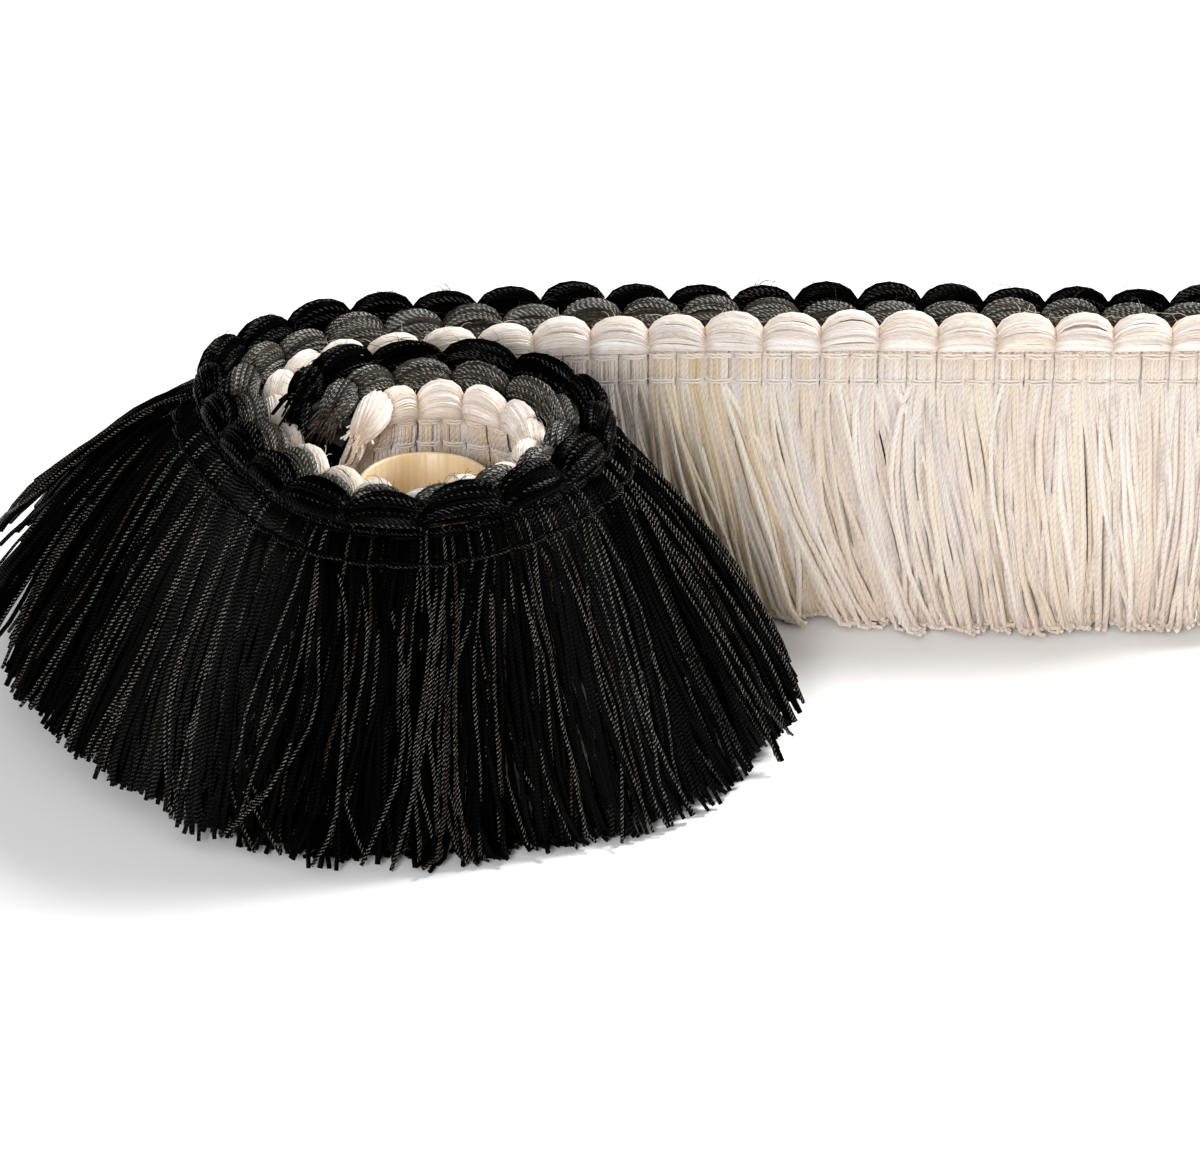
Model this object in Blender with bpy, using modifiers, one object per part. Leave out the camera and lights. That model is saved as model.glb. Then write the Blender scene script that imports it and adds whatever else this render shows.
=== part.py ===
"""Brush fringe trim with a bobble heading, standing on its fringe in one loop with a straight tail.

Three rows of yarn bobbles lie side by side on a narrow heading tape: white, grey and black.
White tufts hang from one edge of the tape and black tufts from the other, so the trim stands on
both of them. It comes in as a straight tail, turns once round a short core and ends inside.

Work in the trim's own flat coordinates is in millimetres: s runs along the heading from the cut
end of the tail, n across it (negative on the white side, positive on the black side), z upwards.
"""

import math
import random

import bmesh
import bpy
import numpy as np
from mathutils import Vector

MM = 0.001

# Heading: three rows of bobbles on a tape
ROWS = {"white": -1, "grey": 0, "black": 1}
ROW_SPACING = 6.9
BOBBLE_HALF_WIDTH = 3.25
BOBBLE_FOOT = 57.8
BOBBLE_HEIGHT = 8.6
BOBBLE_SIDES = 8
PINCH_HEIGHT = 3.6
PINCH_WIDTH_SHARE = 0.62
BOBBLE_STEPS = (0.0, 0.2, 0.5, 0.8)
FIRST_BOBBLE = {"white": 3.8, "grey": 4.6, "black": 0.0}
TAIL_PITCH = {"white": 11.8, "grey": 12.2, "black": 12.9}
LOOP_PITCH = {"white": 12.3, "grey": 12.1, "black": 11.9}
TAIL_LENGTH = 178.0

TAPE_HALF_WIDTH = 4.8
TAPE_TOP = 57.4
TAPE_THICKNESS = 1.8
TAPE_STEP = 3.0

# Fringe: two bound necks under each bobble, one or two locks of yarn below each neck
NECK_PITCH = 6.0
NECK_GAP = 1.0
NECK_FOOT = 50.5
NECK_TOP = 57.1
NECK_INNER = 5.2
NECK_OUTER = 8.2
NECK_RECESS = 1.1
SLIT = 0.5
YARN_LENGTH = 56.5
NECK_SPLAY = 40.0
LOCK_RINGS = (0.35, 0.7, 1.0)
HANGING_BEND = 1.35
SPLAYED_BEND = 0.8
SPLAYED_DROOP = 1.4
LOCK_TIP_SHARE = 1.08
LOCK_BELLY = 0.35
NODE_GAP = 0.3

ROLL_PIVOT = 58.0

# Core that the loop is wound round
CORE_CENTRE = (-33.6, 56.8)
CORE_RADIUS = 12.9
CORE_WALL = 1.0
CORE_HEIGHT = 54.0
CORE_SIDES = 24

# Route of the grey row, seen from above, one row for each place along it:
# x and y; roll of the heading (black side up) and its lift; how far the tips of the white and
# black yarns stand out beyond their necks; how far the tips are swept along the trim
ROUTE_COLUMNS = ("x", "y", "roll", "lift", "white_out", "black_out", "sweep")
ROUTE = np.array([
    (143.2, 114.6, 0.0, 0.0, 12.0, 13.0, -1.0),
    (110.0, 114.6, 0.0, 0.0, 12.0, 13.0, -3.0),
    (75.0, 114.6, 0.0, 0.0, 12.0, 13.0, -8.0),
    (41.4, 115.2, 1.0, 0.0, 10.0, 13.0, -13.0),
    (10.5, 115.4, 3.0, 0.0, 6.0, 14.0, -12.0),
    (-17.0, 114.0, 7.0, -0.3, 2.5, 20.0, -6.0),
    (-40.9, 110.6, 11.0, -0.4, 1.5, 31.0, -2.0),
    (-58.9, 103.5, 12.0, -0.2, 1.0, 41.0, 0.0),
    (-68.9, 91.8, 17.0, 0.1, 1.0, 42.0, 0.0),
    (-72.0, 79.3, 25.0, 0.1, 1.0, 36.0, 0.0),
    (-67.9, 63.6, 29.0, -0.7, 2.0, 31.0, 0.0),
    (-59.5, 48.2, 28.0, -1.5, 3.0, 26.0, 0.0),
    (-48.8, 36.4, 26.0, -2.0, 5.5, 21.0, 0.0),
    (-35.9, 31.8, 25.0, -1.7, 7.0, 18.0, 0.0),
    (-23.8, 33.4, 25.0, -0.6, 6.0, 18.0, 0.0),
    (-13.4, 40.5, 25.0, 0.4, 4.0, 21.5, 0.0),
    (-6.4, 51.1, 25.0, 0.7, 2.0, 27.0, 0.0),
    (-5.1, 64.2, 23.0, 0.6, 2.0, 30.0, 0.0),
    (-10.8, 76.3, 17.0, 0.7, 2.0, 18.0, 0.0),
    (-24.2, 83.6, 12.0, 1.2, 2.0, 8.0, 0.0),
    (-38.4, 82.8, 14.0, 1.9, 2.0, 3.0, 0.0),
    (-49.0, 76.2, 20.0, 2.9, 2.0, 1.0, 0.0),
    (-53.2, 65.2, 24.0, 3.6, 2.0, 0.0, 0.0),
])

# Fringe nodes of each side: long ones on the tail, then arcs short enough to keep the loop open
TAIL_STRETCHES = (0.0, 60.0, 120.0, 168.0)
LOOP_STRETCH = 18.0

# The black fringe stops this far before the inner cut end, which lies against the first turn
BLACK_SHORT = 20.0

COLOURS = {
    "white": (0.86, 0.82, 0.74, 1.0),
    "grey": (0.13, 0.13, 0.115, 1.0),
    "black": (0.012, 0.011, 0.011, 1.0),
    "cream": (0.80, 0.68, 0.44, 1.0),
    "tape": (0.05, 0.05, 0.048, 1.0),
}


def smooth_route(points, samples=40):
    """A Catmull-Rom curve through the route's points, with every column carried along it."""
    padded = np.vstack([2 * points[0] - points[1], points, 2 * points[-1] - points[-2]])
    curve = []
    for p0, p1, p2, p3 in zip(padded, padded[1:], padded[2:], padded[3:]):
        for t in np.arange(samples) / samples:
            curve.append(0.5 * (2 * p1 + (p2 - p0) * t
                                + (2 * p0 - 5 * p1 + 4 * p2 - p3) * t ** 2
                                + (3 * p1 - p0 - 3 * p2 + p3) * t ** 3))
    curve.append(points[-1])
    return np.array(curve)


CURVE = smooth_route(ROUTE)
CURVE_S = np.concatenate([[0.0], np.cumsum(np.hypot(*np.diff(CURVE[:, :2], axis=0).T))])
LENGTH = CURVE_S[-1]


def route(column, s):
    """One column of the route at the distance s along it."""
    return float(np.interp(s, CURVE_S, CURVE[:, ROUTE_COLUMNS.index(column)]))


def bend(s, n, z):
    """A point of the flat trim, laid along its route, in metres."""
    step = 1.0
    x, y = route("x", s), route("y", s)
    along_x = route("x", min(s + step, LENGTH)) - route("x", max(s - step, 0.0))
    along_y = route("y", min(s + step, LENGTH)) - route("y", max(s - step, 0.0))
    size = math.hypot(along_x, along_y)
    return Vector((x + n * along_y / size, y - n * along_x / size, z)) * MM


def rolled(s, n, z):
    """The heading's roll about its own line and its lift, as (n, z)."""
    angle = math.radians(route("roll", s))
    rise = z - ROLL_PIVOT
    return (n * math.cos(angle) - rise * math.sin(angle),
            ROLL_PIVOT + route("lift", s) + rise * math.cos(angle) + n * math.sin(angle))


def on_heading(s, n, z):
    """A point of the heading, rolled and laid along the route."""
    return bend(s, *rolled(s, n, z))


def extrude_face(bm, face, corners):
    """Extrudes one face and moves each new corner to its place. Returns the new face and walls."""
    old = [vert.co.copy() for vert in face.verts]
    before = set(bm.faces) - {face}
    new = bmesh.ops.extrude_discrete_faces(bm, faces=[face])["faces"][0]
    order = [min(range(len(old)), key=lambda i: (old[i] - vert.co).length) for vert in new.verts]
    for vert, index in zip(new.verts, order):
        vert.co = corners[index]
    walls = [f for f in bm.faces if f not in before and f is not new]
    return new, walls


def first_face(bm, corners):
    """The outline that a swept solid starts from."""
    return bm.faces.new([bm.verts.new(corner) for corner in corners])


def material(name):
    found = bpy.data.materials.get(name) or bpy.data.materials.new(name)
    found.use_nodes = True
    shader = found.node_tree.nodes["Principled BSDF"]
    shader.inputs["Base Color"].default_value = COLOURS[name]
    shader.inputs["Roughness"].default_value = 0.85 if name != "cream" else 0.4
    found.diffuse_color = COLOURS[name]
    return found


def finish(bm, name, colour, collection):
    """Closes the open start of a sweep and makes the node."""
    bmesh.ops.holes_fill(bm, edges=[edge for edge in bm.edges if edge.is_boundary])
    bmesh.ops.recalc_face_normals(bm, faces=bm.faces)
    mesh = bpy.data.meshes.new(name)
    bm.to_mesh(mesh)
    bm.free()
    mesh.materials.append(material(colour))
    mesh.shade_smooth()
    mesh.set_sharp_from_angle(angle=math.radians(50))
    node = bpy.data.objects.new(name, mesh)
    collection.objects.link(node)
    return node


def pinches(row):
    """Distances along the route of the pinches between a row's bobbles."""
    found = [FIRST_BOBBLE[row]]
    while found[-1] < LENGTH - LOOP_PITCH[row] / 2:
        pitch = TAIL_PITCH[row] if found[-1] < TAIL_LENGTH else LOOP_PITCH[row]
        found.append(found[-1] + pitch)
    found[-1] = LENGTH
    return found


def bobble_ring(s, n, fullness):
    """Outline of a bobble row where it is pinched (fullness 0), full (1) or between."""
    half_width = BOBBLE_HALF_WIDTH * (PINCH_WIDTH_SHARE + (1 - PINCH_WIDTH_SHARE) * fullness)
    height = PINCH_HEIGHT + (BOBBLE_HEIGHT - PINCH_HEIGHT) * fullness
    corner = math.cos(math.pi / BOBBLE_SIDES)
    ring = []
    for i in range(BOBBLE_SIDES):
        angle = 2 * math.pi * (i + 0.5) / BOBBLE_SIDES
        across = n + half_width * math.cos(angle) / corner
        up = BOBBLE_FOOT + height / 2 * (1 + math.sin(angle) / corner)
        ring.append(on_heading(s, across, up))
    return ring


def make_bobbles(row, collection):
    """One row of bobbles: a thick bundle of yarn, pinched by a stitch at each end of a bobble."""
    n = ROWS[row] * ROW_SPACING
    places = []
    marks = pinches(row)
    for start, end in zip(marks, marks[1:]):
        places += [(start + (end - start) * t, math.sin(math.pi * t) ** 0.7) for t in BOBBLE_STEPS]
    places.append((LENGTH, 0.0))
    bm = bmesh.new()
    face = first_face(bm, bobble_ring(marks[0], n, 0.0))
    for s, fullness in places[1:]:
        face, _ = extrude_face(bm, face, bobble_ring(s, n, fullness))
    return finish(bm, f"bobbles_{row}", row, collection)


def make_tape(collection):
    """The heading tape under the bobbles, between the two rows of necks."""
    def ring(s):
        low = TAPE_TOP - TAPE_THICKNESS
        return [on_heading(s, n, z) for n, z in (
            (-TAPE_HALF_WIDTH, low), (TAPE_HALF_WIDTH, low),
            (TAPE_HALF_WIDTH, TAPE_TOP), (-TAPE_HALF_WIDTH, TAPE_TOP))]

    bm = bmesh.new()
    face = first_face(bm, ring(0.0))
    steps = round(LENGTH / TAPE_STEP)
    for i in range(1, steps + 1):
        face, _ = extrude_face(bm, face, ring(LENGTH * i / steps))
    return finish(bm, "heading_tape", "tape", collection)


def splay(colour, s):
    """How far the yarns stand out from upright: 0 where they hang, 1 where they lie level."""
    return min(route(f"{colour}_out", s) / YARN_LENGTH, 1.0)


def lock_tip(colour, s, z_root, rng):
    """Where a lock ends: how far out from its root, and how high above the floor."""
    out = route(f"{colour}_out", s)
    lift = z_root - math.sqrt(YARN_LENGTH ** 2 - out ** 2)
    return ROWS[colour] * out, lift + rng.uniform(-1.0, 1.5) if lift > 1.5 else 0.0


def make_lock(bm, face, colour, rng):
    """One lock of yarn, extruded down from the underside of a neck."""
    flat = bm.verts.layers.float_vector["flat"]
    root = [vert[flat].copy() for vert in face.verts]
    s_mid = sum(p.x for p in root) / 4
    n_mid = sum(p.y for p in root) / 4
    z_root = sum(p.z for p in root) / 4
    out, tip_z = lock_tip(colour, s_mid, z_root, rng)
    spread = splay(colour, s_mid)
    bend_power = HANGING_BEND + (SPLAYED_BEND - HANGING_BEND) * spread
    droop_power = 1 + (SPLAYED_DROOP - 1) * spread
    for h in LOCK_RINGS:
        share = 1 + (LOCK_TIP_SHARE - 1) * h
        belly = 1 + LOCK_BELLY * math.sin(math.pi * h)
        z = z_root + (tip_z - z_root) * h ** droop_power
        corners = []
        for p in root:
            s = s_mid + (p.x - s_mid) * share + route("sweep", p.x) * h ** HANGING_BEND
            n = n_mid + (p.y - n_mid) * belly + out * h ** bend_power
            corners.append(bend(s, n, z))
        face, _ = extrude_face(bm, face, corners)


def stretches():
    """Start and end, along the route, of each stretch of fringe."""
    last = math.floor(LENGTH / NECK_PITCH) * NECK_PITCH
    arcs = math.ceil((last - TAIL_STRETCHES[-1]) / LOOP_STRETCH)
    ends = [*TAIL_STRETCHES, *(TAIL_STRETCHES[-1] + LOOP_STRETCH * i for i in range(1, arcs)), last]
    return list(zip(ends, ends[1:]))


def neck_stations(start, end, locks):
    """Places along a strip of necks, as (s, recessed): each neck has a groove before it."""
    stations = []
    s = start
    width = NECK_PITCH - NECK_GAP
    while s < end - 0.01:
        stations += [(s, False), (s + NECK_GAP / 2, True), (s + NECK_GAP, False)]
        if locks == 2:
            middle = s + NECK_GAP + width / 2
            stations += [(middle - SLIT / 2, False), (middle + SLIT / 2, False)]
        s += NECK_PITCH
    stations.append((end, False))
    stations[0] = (start + NODE_GAP / 2, False)
    stations[-1] = (end - NODE_GAP / 2, False)
    return stations


def make_fringe(colour, index, start, end, locks, collection):
    """A stretch of fringe: the strip of bound necks with the locks of yarn below it."""
    side = ROWS[colour]
    rng = random.Random(f"{colour}{index}")
    bm = bmesh.new()
    flat = bm.verts.layers.float_vector.new("flat")

    def ring(s, recessed):
        outer = NECK_OUTER - (NECK_RECESS if recessed else 0.0)
        angle = math.radians(NECK_SPLAY * splay(colour, s))
        out = (NECK_TOP - NECK_FOOT) * math.sin(angle)
        foot = NECK_TOP - (NECK_TOP - NECK_FOOT) * math.cos(angle)
        return [(s, *rolled(s, side * n, z)) for n, z in (
            (NECK_INNER + out, foot), (outer + out, foot), (outer, NECK_TOP), (NECK_INNER, NECK_TOP))]

    def note(face, corners):
        for vert in face.verts:
            nearest = min(corners, key=lambda p: (bend(*p) - vert.co).length)
            vert[flat] = Vector(nearest)

    stations = neck_stations(start, end, locks)
    corners = ring(*stations[0])
    face = first_face(bm, [bend(*p) for p in corners])
    note(face, corners)
    roots = []
    for (s0, recessed0), (s1, recessed1) in zip(stations, stations[1:]):
        corners = ring(s1, recessed1)
        face, walls = extrude_face(bm, face, [bend(*p) for p in corners])
        note(face, corners)
        if s1 - s0 > NECK_GAP:
            roots.append(min(walls, key=lambda f: f.calc_center_median().z))
    for root in roots:
        make_lock(bm, root, colour, rng)
    return finish(bm, f"fringe_{colour}_{index:02d}", colour, collection)


def make_core(collection):
    """The short tube that the loop is wound round."""
    mesh = bpy.data.meshes.new("core")
    bm = bmesh.new()
    bmesh.ops.create_circle(bm, segments=CORE_SIDES, radius=(CORE_RADIUS - CORE_WALL) * MM)
    wall = bmesh.ops.extrude_edge_only(bm, edges=bm.edges[:])
    bmesh.ops.translate(bm, vec=(0, 0, CORE_HEIGHT * MM),
                        verts=[v for v in wall["geom"] if isinstance(v, bmesh.types.BMVert)])
    bmesh.ops.recalc_face_normals(bm, faces=bm.faces)
    bm.to_mesh(mesh)
    bm.free()
    mesh.materials.append(material("cream"))
    core = bpy.data.objects.new("core", mesh)
    core.location = (CORE_CENTRE[0] * MM, CORE_CENTRE[1] * MM, 0)
    collection.objects.link(core)
    skin = core.modifiers.new("wall", "SOLIDIFY")
    skin.thickness = CORE_WALL * MM
    skin.offset = 1.0
    return core


def centre_over_floor(objects):
    """Moves the finished trim so that the middle of its foot is the origin."""
    bpy.context.view_layer.update()
    corners = [obj.matrix_world @ Vector(corner) for obj in objects for corner in obj.bound_box]
    low = [min(c[axis] for c in corners) for axis in range(2)]
    high = [max(c[axis] for c in corners) for axis in range(2)]
    middle = Vector(((low[0] + high[0]) / 2, (low[1] + high[1]) / 2, 0))
    for obj in objects:
        obj.location -= middle


def main():
    for obj in list(bpy.data.objects):
        bpy.data.objects.remove(obj)
    trim = bpy.data.collections.new("fringe_trim")
    bpy.context.scene.collection.children.link(trim)
    nodes = [make_tape(trim), make_core(trim)]
    nodes += [make_bobbles(row, trim) for row in ROWS]
    for index, (start, end) in enumerate(stretches(), 1):
        on_loop = start >= TAIL_STRETCHES[-1]
        nodes.append(make_fringe("white", index, start, end, 1, trim))
        if end < LENGTH - BLACK_SHORT:
            nodes.append(make_fringe("black", index, start, end, 2 if on_loop else 1, trim))
    centre_over_floor(nodes)


main()
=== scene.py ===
"""Brush fringe trim with a bobble heading: its yarns, stitching, core, floor, lights and camera.

The trim is worked out flat, in millimetres, and then laid along its route: s runs along the heading
from the cut end of the tail, n across it (negative on the white side, positive on the black side)
and z upwards. Every yarn is a tube swept along a path made in those coordinates.
"""

import math
from functools import partial
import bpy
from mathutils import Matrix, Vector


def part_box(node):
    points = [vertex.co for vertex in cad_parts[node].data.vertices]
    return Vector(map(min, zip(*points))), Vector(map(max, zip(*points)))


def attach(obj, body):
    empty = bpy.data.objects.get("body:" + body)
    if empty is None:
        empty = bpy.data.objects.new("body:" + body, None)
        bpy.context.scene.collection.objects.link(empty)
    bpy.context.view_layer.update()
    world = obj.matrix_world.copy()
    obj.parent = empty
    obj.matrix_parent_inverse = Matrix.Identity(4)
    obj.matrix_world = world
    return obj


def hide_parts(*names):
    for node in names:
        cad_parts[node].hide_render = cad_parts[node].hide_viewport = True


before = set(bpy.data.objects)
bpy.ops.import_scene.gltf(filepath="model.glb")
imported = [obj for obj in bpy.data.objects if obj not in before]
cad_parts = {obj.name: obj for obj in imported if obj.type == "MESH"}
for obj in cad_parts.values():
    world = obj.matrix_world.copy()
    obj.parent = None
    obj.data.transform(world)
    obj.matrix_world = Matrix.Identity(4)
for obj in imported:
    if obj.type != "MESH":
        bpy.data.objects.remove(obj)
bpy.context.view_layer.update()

from types import SimpleNamespace

import bpy
import numpy as np
from bpy.props import FloatProperty, FloatVectorProperty, IntProperty, PointerProperty
from mathutils import Vector

bl_info = {
    "name": "Brush fringe trim",
    "version": (1, 0, 0),
    "blender": (4, 5, 0),
    "location": "3D View > Sidebar > Trim",
    "description": "Dresses a double-sided brush fringe with its yarns, stitching and core",
    "category": "Object",
}

BODY = "root"
MM = 0.001

# Directions that the level threads never follow, and that stray fibres and frayed yarns never do
UPWARD = np.array([0.0, 0.0, 1.0])
SLANTING = np.array([0.31, 0.17, 0.93])

# Heading, in millimetres
ROWS = {"white": -1, "grey": 0, "black": 1}
ROW_SPACING = 6.9
BOBBLE_HALF_WIDTH = 3.25
BOBBLE_FOOT = 57.8
BOBBLE_HEIGHT = 8.6
PINCH_HEIGHT = 2.6
PINCH_WIDTH_SHARE = 0.42
FIRST_BOBBLE = {"white": 3.8, "grey": 4.6, "black": 0.0}
TAIL_PITCH = {"white": 11.8, "grey": 12.2, "black": 12.9}
LOOP_PITCH = {"white": 12.3, "grey": 12.1, "black": 11.9}
TAIL_LENGTH = 178.0
ROLL_PIVOT = 58.0

# Yarns round a bobble, with angles in degrees: none lies underneath, against the tape
FIRST_TURN = -52
TURNS = 284
BOBBLE_POINTS = 9
BOBBLE_YARN_SIDES = 4
BOBBLE_OVERLAP = 0.15
BUNDLE_INSET = 0.6
BUNDLE_SIDES = 12
# Bobble yarns whose tint is above these get painted glints along their ply crests
PAINTED_GLINTS_FROM = {"white": 0.78, "grey": 0.35, "black": 0.78}

# Necks, in millimetres and degrees: the heights that their yarns pass through, and how far these
# are drawn in there by the stitching
NECK_TOP = 57.1
NECK_INNER = 5.2
NECK_OUTER = 8.2
NECK_GAP = 0.3
NECK_FRONT_INSET = 0.4
NECK_INSETS = 0.9
NECK_LAYER = 7
NECK_ROUNDING = 1.2
NECK_SPLAY = 40.0
NECK_HEIGHTS = np.array([58.3, 57.2, 56.3, 54.4, 52.6, 51.6, 50.5])
NECK_TIES = np.array([0.0, 0.5, 0.0, -0.25, 0.0, 0.6, 0.25])
SIDE_TIE = 0.08

# Stitching, in millimetres: height and thread radius of each line, and half its two legs' distance
STITCH_LINES = ((57.1, 0.34), (51.6, 0.27))
STITCH_LEG = 0.34
STITCH_INSET = 1.92
STITCH_BULGE = 1.55

# Hanging yarns, in millimetres: the shares of their length where their paths have a point, and how
# those that hang and those that stand out are curved
YARN_LENGTH = 56.5
HANG = np.array([0.06, 0.14, 0.24, 0.36, 0.48, 0.6, 0.72, 0.84, 0.93, 1.0])
HANGING_BEND = 1.35
SPLAYED_BEND = 0.8
SPLAYED_DROOP = 1.4
LOCKS = 3
STRAYS_FROM = 0.96
# Share of yarns set bright, among the outer ones: the black ones get painted glints, the white ones
# a slightly lighter tone
BRIGHT_FROM = {"white": 0.9, "black": 0.76}
BRIGHT_DEPTH = 0.6
WHITE_SWELL = 1.07
BRIGHT_THINNING = 0.3

# Places along the heading, in millimetres: where the tail's fringe ends and the skirt's front
# begins, near which the yarns lean less, so that the stretches meet
LOOP_START = 168.0
SKIRT_FRONT = 288.0
SEAM_REACH = 20

# Where the loop bends the most and its outer yarns close ranks, and where these are shortest
SHARPEST_BEND = 281.0
BEND_REACH = 16
BEND_CLOSING = 0.6
BEND_FANNING = 0.9
SHORTEST_BLACK = 268.0
SHORT_REACH = 24
SHORT_BY = 3.5

# Warm stretches of the white fringe: middle and reach along the heading, and strength
GOLDEN_STRETCHES = ((122, 15, 0.30), (45, 9, 0.10))
# Painted shade and warm bounce light inside the loop: how far its white yarns shift towards the
# darker pale gold
LOOP_PAINTED_SHADE = 0.55

# Stray fibres of each row, as a share of the number that is set, and their radius in millimetres;
# the yarns that stick out of a cut end of each row, and how far, in millimetres
FUZZ_SHARES = {"white": 0.5, "grey": 0.7, "black": 1.0}
FUZZ_RADIUS = 0.065
CUT_END_YARNS = 34
CUT_END_SIZE = (2.3, 2.4)
CUT_END_HEIGHT = 2.8
CUT_END_ROOTS = {"tail": 1.2, "inner": 1.6}
CUT_END_REACH = {"tail": {"white": 2.4, "grey": 2.4, "black": 2.4},
                 "inner": {"white": 2.6, "grey": 4.0, "black": 4.0}}

# Core, in millimetres, with its centre in the route's own coordinates
CORE_CENTRE = (-33.6, 56.8)
CORE_RADIUS = 12.9
CORE_WALL = 1.0
CORE_HEIGHT = 54.0
CORE_LIP = 0.25
CORE_EDGE = 1.0
CORE_RIBS = 48
CORE_RIB_DEPTH = 0.05
CORE_SIDES = 144

# Route of the grey row, seen from above: x and y; roll of the heading (black side up) and its
# lift; how far the tips of the white and black yarns stand out; how far the tips are swept along
ROUTE_COLUMNS = ("x", "y", "roll", "lift", "white_out", "black_out", "sweep")
ROUTE = np.array([
    (143.2, 114.6, 0.0, 0.0, 12.0, 13.0, -1.0),
    (110.0, 114.6, 0.0, 0.0, 12.0, 13.0, -3.0),
    (75.0, 114.6, 0.0, 0.0, 12.0, 13.0, -8.0),
    (41.4, 115.2, 1.0, 0.0, 10.0, 13.0, -13.0),
    (10.5, 115.4, 3.0, 0.0, 6.0, 14.0, -12.0),
    (-17.0, 114.0, 7.0, -0.3, 2.5, 20.0, -6.0),
    (-40.9, 110.6, 11.0, -0.4, 1.5, 31.0, -2.0),
    (-58.9, 103.5, 12.0, -0.2, 1.0, 41.0, 0.0),
    (-68.9, 91.8, 17.0, 0.1, 1.0, 42.0, 0.0),
    (-72.0, 79.3, 25.0, 0.1, 1.0, 36.0, 0.0),
    (-67.9, 63.6, 29.0, -0.7, 2.0, 31.0, 0.0),
    (-59.5, 48.2, 28.0, -1.5, 3.0, 26.0, 0.0),
    (-48.8, 36.4, 26.0, -2.0, 5.5, 21.0, 0.0),
    (-35.9, 31.8, 25.0, -1.7, 7.0, 18.0, 0.0),
    (-23.8, 33.4, 25.0, -0.6, 6.0, 18.0, 0.0),
    (-13.4, 40.5, 25.0, 0.4, 4.0, 21.5, 0.0),
    (-6.4, 51.1, 25.0, 0.7, 2.0, 27.0, 0.0),
    (-5.1, 64.2, 23.0, 0.6, 2.0, 30.0, 0.0),
    (-10.8, 76.3, 17.0, 0.7, 2.0, 18.0, 0.0),
    (-24.2, 83.6, 12.0, 1.2, 2.0, 8.0, 0.0),
    (-38.4, 82.8, 14.0, 1.9, 2.0, 3.0, 0.0),
    (-49.0, 76.2, 20.0, 2.9, 2.0, 1.0, 0.0),
    (-53.2, 65.2, 24.0, 3.6, 2.0, 0.0, 0.0),
])

# Camera, in the route's own millimetres: it looks at a point over the route's zero
CAMERA_ELEVATION = 28.0
CAMERA_DISTANCE = 700.0
CAMERA_TARGET_HEIGHT = 63.0
CAMERA_LENS = 117.8

# Stage, in metres
FLOOR_SIZE = 12.0
FLOOR_HEIGHT = -0.0003
KEY_PLACE = (0.72, 0.44, 0.85)
KEY_TARGET = (0, 0, 0)
KEY_SIZE = 0.32
FILL_PLACE = (-0.25, -1.0, 0.5)
FILL_TARGET = (0, 0, 0.04)
FILL_SIZE = 0.3

# First number of each step's random draws
DRAWS = {"bobbles": 10, "fringe": 20, "stitches": 30, "fuzz": 40, "cut ends": 50}

# Finish of each yarn, with the strengths of its painted shade in the ply grooves and towards the
# ends and of its painted glints, and what differs between its bobbles and its fringe. The ply
# length is in millimetres and the depth of the twist in metres
FINISHES = {
    "white": {"roughness": 0.45, "uneven": 0.3, "specular": 0.5, "sheen": 0.3, "soft": 0.3,
              "painted_glints": 0.0, "mottling": 0.8},
    "grey": {"roughness": 0.45, "uneven": 1.0, "specular": 0.3, "sheen": 0.0, "soft": 0.0,
             "painted_glints": 1.0, "mottling": 2.0, "ply_length": 1.1, "groove": 0.85, "depth": 0.0001,
             "ends": 0.85},
    "black": {"roughness": 0.3, "uneven": 0.7, "specular": 0.03, "sheen": 0.0, "soft": 0.0,
              "mottling": 0.0},
}
PLACE_FINISHES = {
    "white bobble": {"ply_length": 2.6, "groove": 0.10, "depth": 0.00005, "ends": 0.42},
    "white fringe": {"ply_length": 1.5, "groove": 0.24, "depth": 0.00011, "ends": 0.18},
    "black bobble": {"ply_length": 1.2, "groove": 0.6, "depth": 0.00006, "ends": 0.85,
                     "painted_glints": 0.4},
    "black fringe": {"ply_length": 0.85, "groove": 0.6, "depth": 0.00006, "ends": 0.0,
                     "painted_glints": 1.0},
}


def smooth_route(points, samples=40):
    """A Catmull-Rom curve through the route's points, with every column carried along it."""
    padded = np.vstack([2 * points[0] - points[1], points, 2 * points[-1] - points[-2]])
    curve = []
    for p0, p1, p2, p3 in zip(padded, padded[1:], padded[2:], padded[3:]):
        for t in np.arange(samples) / samples:
            curve.append(0.5 * (2 * p1 + (p2 - p0) * t
                                + (2 * p0 - 5 * p1 + 4 * p2 - p3) * t ** 2
                                + (3 * p1 - p0 - 3 * p2 + p3) * t ** 3))
    curve.append(points[-1])
    return np.array(curve)


CURVE = smooth_route(ROUTE)
CURVE_S = np.concatenate([[0.0], np.cumsum(np.hypot(*np.diff(CURVE[:, :2], axis=0).T))])
LENGTH = CURVE_S[-1]

# Stretches of the fringe that are made as one piece each, and the solids that each stands for,
# counted from the tail's end
STRETCHES = {
    "white": {"tail": (0.0, LOOP_START), "loop": (LOOP_START, LENGTH)},
    "black": {"tail": (0.0, LOOP_START), "left": (LOOP_START, SKIRT_FRONT),
              "front": (SKIRT_FRONT, LENGTH)},
}
STRETCH_SOLIDS = {"tail": slice(0, 3), "loop": slice(3, None), "left": slice(3, 9),
                  "front": slice(9, None)}

# The frame's origin in the route's own coordinates, found from where the core stands
core_low, core_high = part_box("core")
ORIGIN = np.array([CORE_CENTRE[i] - (core_low[i] + core_high[i]) / 2 / MM for i in range(2)])


def route(column, s):
    """One column of the route at the distances s along it."""
    return np.interp(s, CURVE_S, CURVE[:, ROUTE_COLUMNS.index(column)])


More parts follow.
